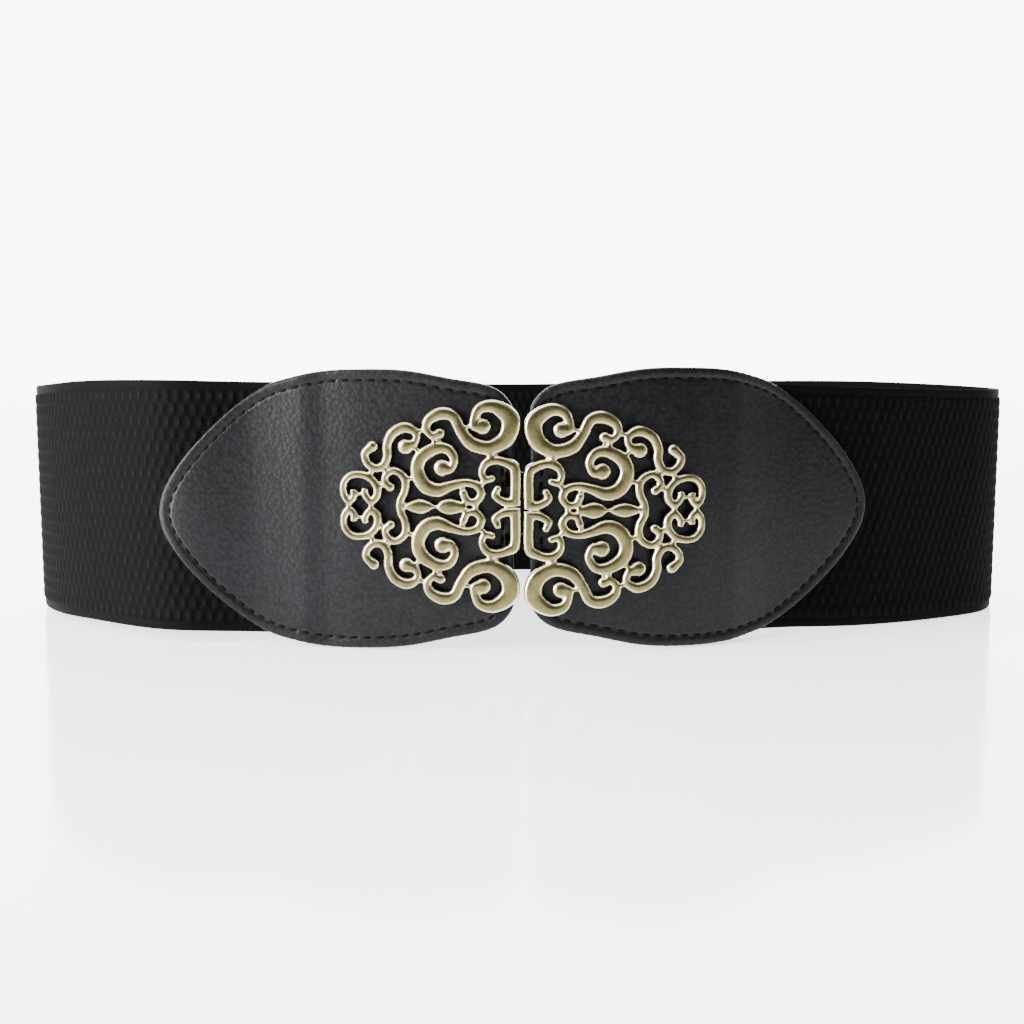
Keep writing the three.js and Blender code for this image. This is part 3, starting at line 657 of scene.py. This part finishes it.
SCROLLS = (  # rows, ball at the start, ball at the end
    (CREST_SCROLL, True, True), (GREAT_SCROLL, True, True), (WINDOW_SCROLL, True, False),
    (WINDOW_TAIL, False, True), (OUTER_SCROLL, True, True), (END_RING, False, False),
    (BRACKET, True, False),
)
STROKE_STEPS = 7
SOFTENED = 0.12  # what smoothing the cast corners takes off each side
SHOULDER = 0.95  # radius of the rounded shoulders, whatever the stroke's width
CROWN_RISE = 0.4
BALL_GROWTH = 1.12
ACROSS = (1.0, 0.95, 0.86, 0.74, 0.58, 0.36, 0.12)  # places on half of a stroke's top
SECTION = [(1.0, 0), *[(x, 1) for x in ACROSS], *[(-x, 1) for x in reversed(ACROSS)], (-1.0, 0)]


def dome_profile():
    """The section of a stroke for the curve's bevel: its flat back, and places across its top."""
    curve = bpy.data.curves.new("stroke_section", "CURVE")
    curve.dimensions = "2D"
    spline = curve.splines.new("POLY")
    spline.points.add(len(SECTION) - 1)
    for point, (x, z) in zip(spline.points, SECTION):
        point.co = (x, z, 0, 1)
    spline.use_cyclic_u = True
    section = bpy.data.objects.new("stroke_section", curve)
    bpy.context.scene.collection.objects.link(section)
    return section


def stroke_mesh(rows, side, flip, section):
    """One stroke as a mesh in the plate's plane: x along, y up, z out from the back."""
    rows = [Vector((side * (PLATE_SPLIT / 2 + a * PLATE_LENGTH), flip * u * PLATE_HALF_HEIGHT,
                    w * WIDEST_STROKE / 2)) for a, u, w in rows]
    padded = [2 * rows[0] - rows[1], *rows, 2 * rows[-1] - rows[-2]]
    places = []
    for i in range(len(rows) - 1):
        span = smooth_span(*padded[i:i + 4], power=0)
        places += [span(n / STROKE_STEPS) for n in range(STROKE_STEPS)]
    places.append(rows[-1])
    curve = bpy.data.curves.new("stroke", "CURVE")
    curve.dimensions = "2D"
    curve.fill_mode = "NONE"
    curve.bevel_mode = "OBJECT"
    curve.bevel_object = section
    curve.use_fill_caps = True
    spline = curve.splines.new("POLY")
    spline.points.add(len(places) - 1)
    for point, place in zip(spline.points, places):
        point.co = (place.x, place.y, 0, 1)
        point.radius = max(place.z, 0.3) + SOFTENED
    stroke = bpy.data.objects.new("stroke", curve)
    bpy.context.scene.collection.objects.link(stroke)
    bpy.context.view_layer.update()
    graph = bpy.context.evaluated_depsgraph_get()
    mesh = bpy.data.meshes.new_from_object(stroke.evaluated_get(graph))
    bpy.data.objects.remove(stroke)
    bpy.data.curves.remove(curve)
    shape_section(mesh)
    return mesh


def shape_section(mesh):
    """Gives each section the plate's one thickness, with shoulders of one radius and a low crown."""
    co = np.empty(len(mesh.vertices) * 3, np.float32)
    mesh.vertices.foreach_get("co", co)
    rings = co.reshape(-1, len(SECTION), 3)
    across, top = np.array([x for x, _ in SECTION]), np.array([z for _, z in SECTION])
    middle = (rings[:, 0, :2] + rings[:, -1, :2]) / 2
    half = np.linalg.norm(rings[:, 0, :2] - middle, axis=1)[:, None]
    short = SHOULDER - np.minimum((1 - np.abs(across)) * half, SHOULDER)
    shoulder = PLATE_THICKNESS - SHOULDER + np.sqrt(np.maximum(SHOULDER**2 - short**2, 0))
    rings[:, :, 2] = top * (shoulder + CROWN_RISE * (1 - across**2) * np.minimum(half / 2, 1))
    mesh.vertices.foreach_set("co", rings.ravel())


def end_ball(bm, row, side, flip):
    """The domed drop that ends a scroll."""
    radius = row[2] * WIDEST_STROKE / 2 * BALL_GROWTH
    made = bmesh.ops.create_icosphere(bm, subdivisions=3, radius=1)["verts"]
    for vert in made:
        rise = 0.45 if vert.co.z > 0 else 0.68
        vert.co.z = (0.68 + rise * vert.co.z) * PLATE_THICKNESS
    bmesh.ops.scale(bm, verts=made, vec=(radius, radius, 1))
    place = (side * (PLATE_SPLIT / 2 + row[0] * PLATE_LENGTH), flip * row[1] * PLATE_HALF_HEIGHT, 0)
    bmesh.ops.translate(bm, verts=made, vec=place)


def scroll_strokes(side, section):
    """All strokes, balls and bridges of one plate, still loose."""
    bm = bmesh.new()
    strokes = [(LEAVES, 1)]
    for flip in (1, -1):
        strokes += [(rows, flip) for rows, _, _ in SCROLLS]
        strokes += [(((a, u, w), (b, v, w)), flip) for a, u, b, v, w in BRIDGES]
        for rows, first, last in SCROLLS:
            if first:
                end_ball(bm, rows[0], side, flip)
            if last:
                end_ball(bm, rows[-1], side, flip)
    for rows, flip in strokes:
        mesh = stroke_mesh(rows, side, flip, section)
        bm.from_mesh(mesh)
        bpy.data.meshes.remove(mesh)
    bmesh.ops.recalc_face_normals(bm, faces=bm.faces)
    return bm


stroke_section = dome_profile()
print("strokes to a plate:", 1 + 2 * (len(SCROLLS) + len(BRIDGES)))

# %% [markdown]
# Behind the face, each plate has three plain rivets through the leather, turned as spun profiles. The right
# plate also has two flat hooks that pass behind the left plate's bars, and the left bars are hollowed there.

# %% Rivets, hooks and the fused plates
RIVETS = ((0.157, 0.556), (0.157, -0.556), (0.548, 0))
RIVET_RADIUS = 1.1
HEAD_RADIUS = 2.2
HEAD_THICKNESS = 0.8
CLEARANCE = 0.3
HOOK_HALF_HEIGHT = 2
HOOK_OFFSET = 9
HOOK_THICKNESS = 1.1
HOOK_REACH = 4.9
HOOK_ROOT = 2.6
HOOK_TIP_WIDTH = 1.1
HOOK_TIP_RISE = 2.4
VOXEL = 0.285
SMOOTHINGS = 3


def rivets(bm, side):
    """Three rivets, each a profile spun round its axis: shank, head and a rounded head edge."""
    under = -(PLATE_BACK + 1.1 + CLEARANCE)
    profile = ((0, 0.5), (RIVET_RADIUS, 0.5), (RIVET_RADIUS, under), (HEAD_RADIUS, under),
               (HEAD_RADIUS, under - 0.5 * HEAD_THICKNESS), (0.8 * HEAD_RADIUS, under - HEAD_THICKNESS),
               (0, under - HEAD_THICKNESS))
    for along, up in RIVETS:
        place = Vector((side * (PLATE_SPLIT / 2 + along * PLATE_LENGTH), up * PLATE_HALF_HEIGHT, 0))
        verts = [bm.verts.new(place + Vector((r, 0, z))) for r, z in profile]
        edges = [bm.edges.new(pair) for pair in zip(verts, verts[1:])]
        made = bmesh.ops.spin(bm, geom=verts + edges, cent=place, axis=(0, 0, 1), angle=2 * math.pi,
                              steps=24, use_merge=True)
        near = [v for v in bm.verts if (v.co - place).xy.length < HEAD_RADIUS + 0.1 and v.is_valid
                and (v.co.z < -0.001 or abs(v.co.z - 0.5) < 0.001)]
        bmesh.ops.remove_doubles(bm, verts=near, dist=0.001)


def hook_blocks(bm, shift, grown):
    """The two hooks as plain blocks, or, grown by the clearance, the room that they need."""
    for flip in (1, -1):
        centre = flip * HOOK_OFFSET + shift
        left = -HOOK_REACH - grown
        for right, rise in ((HOOK_ROOT, HOOK_THICKNESS), (-HOOK_REACH + HOOK_TIP_WIDTH + grown, HOOK_TIP_RISE)):
            low, high = -grown, rise + grown
            made = bmesh.ops.create_cube(bm, size=1)["verts"]
            size = (right - left, 2 * (HOOK_HALF_HEIGHT + grown), high - low)
            bmesh.ops.scale(bm, verts=made, vec=size)
            bmesh.ops.translate(bm, verts=made, vec=((left + right) / 2, centre, (low + high) / 2))


def evaluated_copy(mesh, kind, **settings):
    """The mesh after one modifier."""
    holder = bpy.data.objects.new("holder", mesh)
    bpy.context.scene.collection.objects.link(holder)
    modifier = holder.modifiers.new("step", kind)
    for key, value in settings.items():
        setattr(modifier, key, value)
    bpy.context.view_layer.update()
    graph = bpy.context.evaluated_depsgraph_get()
    made = bpy.data.meshes.new_from_object(holder.evaluated_get(graph))
    bpy.data.objects.remove(holder)
    return made


def cut_room(mesh, shift):
    """Takes the hooks' room out of the left plate's bars."""
    bm = bmesh.new()
    hook_blocks(bm, shift, CLEARANCE)
    room = bpy.data.objects.new("room", mesh_from(bm, "room"))
    bpy.context.scene.collection.objects.link(room)
    made = evaluated_copy(mesh, "BOOLEAN", operation="DIFFERENCE", object=room, solver="FAST")
    bpy.data.objects.remove(room)
    return made


def paint_wear_and_light(mesh):
    """Depth and edge attributes for the antique finish, from height and slope while the plate is flat. Edge
    also marks the shoulders for a painted highlight, and a low depth paints the hooks dark as shade.
    """
    count = len(mesh.vertices)
    co, normal = np.empty(count * 3, np.float32), np.empty(count * 3, np.float32)
    mesh.vertices.foreach_get("co", co)
    mesh.vertex_normals.foreach_get("vector", normal)
    height = co.reshape(-1, 3)[:, 2] / PLATE_THICKNESS
    slope = normal.reshape(-1, 3)[:, 2]
    # painted highlight: edge is 1 on the upper shoulders, which the colour paints lighter than their rubbed
    # brass
    shoulder = np.clip((0.97 - slope) / 0.25, 0, 1) * np.clip((height - 0.5) / 0.3, 0, 1)
    behind = np.abs(co.reshape(-1, 3)[:, 0]) < HOOK_REACH + 0.01
    hook_in_painted_shade = np.zeros(count, bool) if mesh.name[:4] == "left" else co.reshape(-1, 3)[:, 0] < PLATE_SPLIT / 2
    # painted shade: the hooks behind the left plate's bars get a low depth and no edge, so they are painted
    # dark
    height = np.where(hook_in_painted_shade & behind, 0.1, np.where(height < -0.1, 0.75, height))
    shoulder = np.where(hook_in_painted_shade & behind, 0, shoulder)
    for name, values in (("depth", np.clip(height, 0, 1)), ("edge", shoulder)):
        layer = mesh.attributes.new(name, "FLOAT", "POINT")
        layer.data.foreach_set("value", values.astype(np.float32))


def clasp_plate(name, side, middle, hook_shift, node):
    mesh = mesh_from(scroll_strokes(side, stroke_section), name)
    mesh = evaluated_copy(mesh, "REMESH", mode="VOXEL", voxel_size=VOXEL)
    if side < 0:
        mesh = cut_room(mesh, hook_shift)
    bm = bmesh.new()
    bm.from_mesh(mesh)
    for _ in range(SMOOTHINGS):
        bmesh.ops.smooth_vert(bm, verts=bm.verts, factor=0.5, use_axis_x=True, use_axis_y=True,
                              use_axis_z=True)
    rivets(bm, side)
    if side > 0:
        hook_blocks(bm, 0, 0)
    mesh = mesh_from(bm, name)
    paint_wear_and_light(mesh)
    co = np.empty(len(mesh.vertices) * 3, np.float32)
    mesh.vertices.foreach_get("co", co)
    co = co.reshape(-1, 3)
    placed = np.stack([co[:, 0], -(co[:, 2] + PLATE_BACK), co[:, 1] + middle / MM], 1) * MM
    mesh.vertices.foreach_set("co", placed.astype(np.float32).ravel())
    bend(mesh, False)
    return finish_piece(name, mesh, clasp_metal, node)


left_plate_low, left_plate_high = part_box("left_clasp_plate")
right_plate_low, right_plate_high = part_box("right_clasp_plate")
left_middle = (left_plate_low.z + left_plate_high.z) / 2
right_middle = (right_plate_low.z + right_plate_high.z) / 2
clasp_plate("left_scroll_plate", -1, left_middle, (right_middle - left_middle) / MM, "left_clasp_plate")
clasp_plate("right_scroll_plate", 1, right_middle, 0, "right_clasp_plate")
bpy.data.objects.remove(stroke_section)

# %% [markdown]
# The belt stands on a glossy white table in a white studio. The table glows, fully round the belt and dimmer
# further out: a painted pool of light. A broad soft light from the left models the dark leather, and the
# metal needs bright sides and a darker front to show its shape.

# %% Floor and light
# painted light: the table glows at TABLE_GLOW within TABLE_LIT of TABLE_LIT_AT, fading by TABLE_DARK
TABLE_GLOW = 1.7
TABLE_LIT_AT = (0, -0.05, 0)
TABLE_LIT = 0.22  # radius that is lit in full
TABLE_DARK = 0.5


def polished_floor():
    material, tree, shader = new_material(
        "white_acrylic_light_table", Base_Color=linear("#f4f6f8"), Roughness=0.12)
    shader.inputs["Emission Color"].default_value = linear("#f6f9fc")
    place = add_node(tree, "ShaderNodeTexCoord").outputs["Object"]
    away = add_node(tree, "ShaderNodeVectorMath", {0: place}, operation="DISTANCE")
    away.inputs[1].default_value = TABLE_LIT_AT
    painted_glow = add_node(tree, "ShaderNodeMapRange", {"Value": away.outputs["Value"]}, From_Min=TABLE_LIT,
                   From_Max=TABLE_DARK, To_Min=TABLE_GLOW, To_Max=0.4, interpolation_type="SMOOTHSTEP")
    tree.links.new(painted_glow.outputs[0], shader.inputs["Emission Strength"])
    haze = add_node(tree, "ShaderNodeTexNoise", {"Vector": place}, Scale=per_mm(300), Detail=2)
    rough = add_node(tree, "ShaderNodeMapRange", {"Value": haze.outputs["Fac"]}, To_Min=0.08, To_Max=0.14)
    tree.links.new(rough.outputs[0], shader.inputs["Roughness"])
    return material


def floor():
    bm = bmesh.new()
    bmesh.ops.create_circle(bm, cap_ends=True, segments=96, radius=4)
    mesh = mesh_from(bm, "floor")
    mesh.materials.append(polished_floor())
    made = bpy.data.objects.new("floor", mesh)
    bpy.context.scene.collection.objects.link(made)


def soft_light(name, place, aim, size, power):
    """A square softbox at a place, aimed at a point, in metres and watts."""
    light = bpy.data.lights.new(name, "AREA")
    light.shape = "SQUARE"
    light.size = size
    light.energy = power
    made = bpy.data.objects.new(name, light)
    made.location = place
    made.rotation_euler = (Vector(aim) - Vector(place)).to_track_quat("-Z", "Y").to_euler()
    bpy.context.scene.collection.objects.link(made)


def back_lit_panel():
    """The white panel behind the table, lit evenly from its far side."""
    material = bpy.data.materials.new("white_acrylic_back_lit")
    material.use_nodes = True
    tree = material.node_tree
    tree.nodes.clear()
    glow = add_node(tree, "ShaderNodeEmission", Color=linear("#f4f8fc"), Strength=10.0)
    add_node(tree, "ShaderNodeOutputMaterial", {"Surface": glow.outputs[0]})
    bm = bmesh.new()
    bmesh.ops.create_grid(bm, x_segments=1, y_segments=1, size=1)
    bmesh.ops.scale(bm, verts=bm.verts, vec=(3.2, 1.3, 1))
    bmesh.ops.rotate(bm, verts=bm.verts, matrix=Matrix.Rotation(math.pi / 2, 3, "X"))
    bmesh.ops.translate(bm, verts=bm.verts, vec=(0, 2.6, 1.25))
    mesh = mesh_from(bm, "back_panel")
    mesh.materials.append(material)
    made = bpy.data.objects.new("back_panel", mesh)
    bpy.context.scene.collection.objects.link(made)


floor()
back_lit_panel()
soft_light("left_softbox", (-1.25, -0.66, 0.42), (-0.05, 0, 0.04), 0.8, 115)
soft_light("top_softbox", (-0.3, -0.1, 1.1), (0, 0.0, 0.03), 1.4, 26)
soft_light("right_softbox", (1.3, 0.1, 0.4), (0, 0, 0.04), 0.5, 4)
world = bpy.data.worlds.new("studio")
world.use_nodes = True
world.node_tree.nodes["Background"].inputs["Color"].default_value = linear("#eef2f6")
world.node_tree.nodes["Background"].inputs["Strength"].default_value = 0.4
bpy.context.scene.world = world

# %% [markdown]
# The camera stands a little above the belt's upper edge and looks slightly down, as in the photograph. Its
# lens was worked out from how the folds lean and how far the near tabs overshoot the back of the loop.

# %% Camera
LENS_MM = 45
CAMERA_AT = Vector((-5.43, -442.0, 86.3)) * MM
PITCH_DOWN = math.radians(6.9)
YAW_RIGHT = math.radians(0.39)


def camera():
    lens = bpy.data.cameras.new("camera")
    lens.sensor_width = 36
    lens.lens = LENS_MM
    lens.clip_start = 0.01
    made = bpy.data.objects.new("camera", lens)
    made.location = CAMERA_AT
    made.rotation_euler = (math.pi / 2 - PITCH_DOWN, 0, -YAW_RIGHT)
    bpy.context.scene.collection.objects.link(made)
    bpy.context.scene.camera = made


camera()
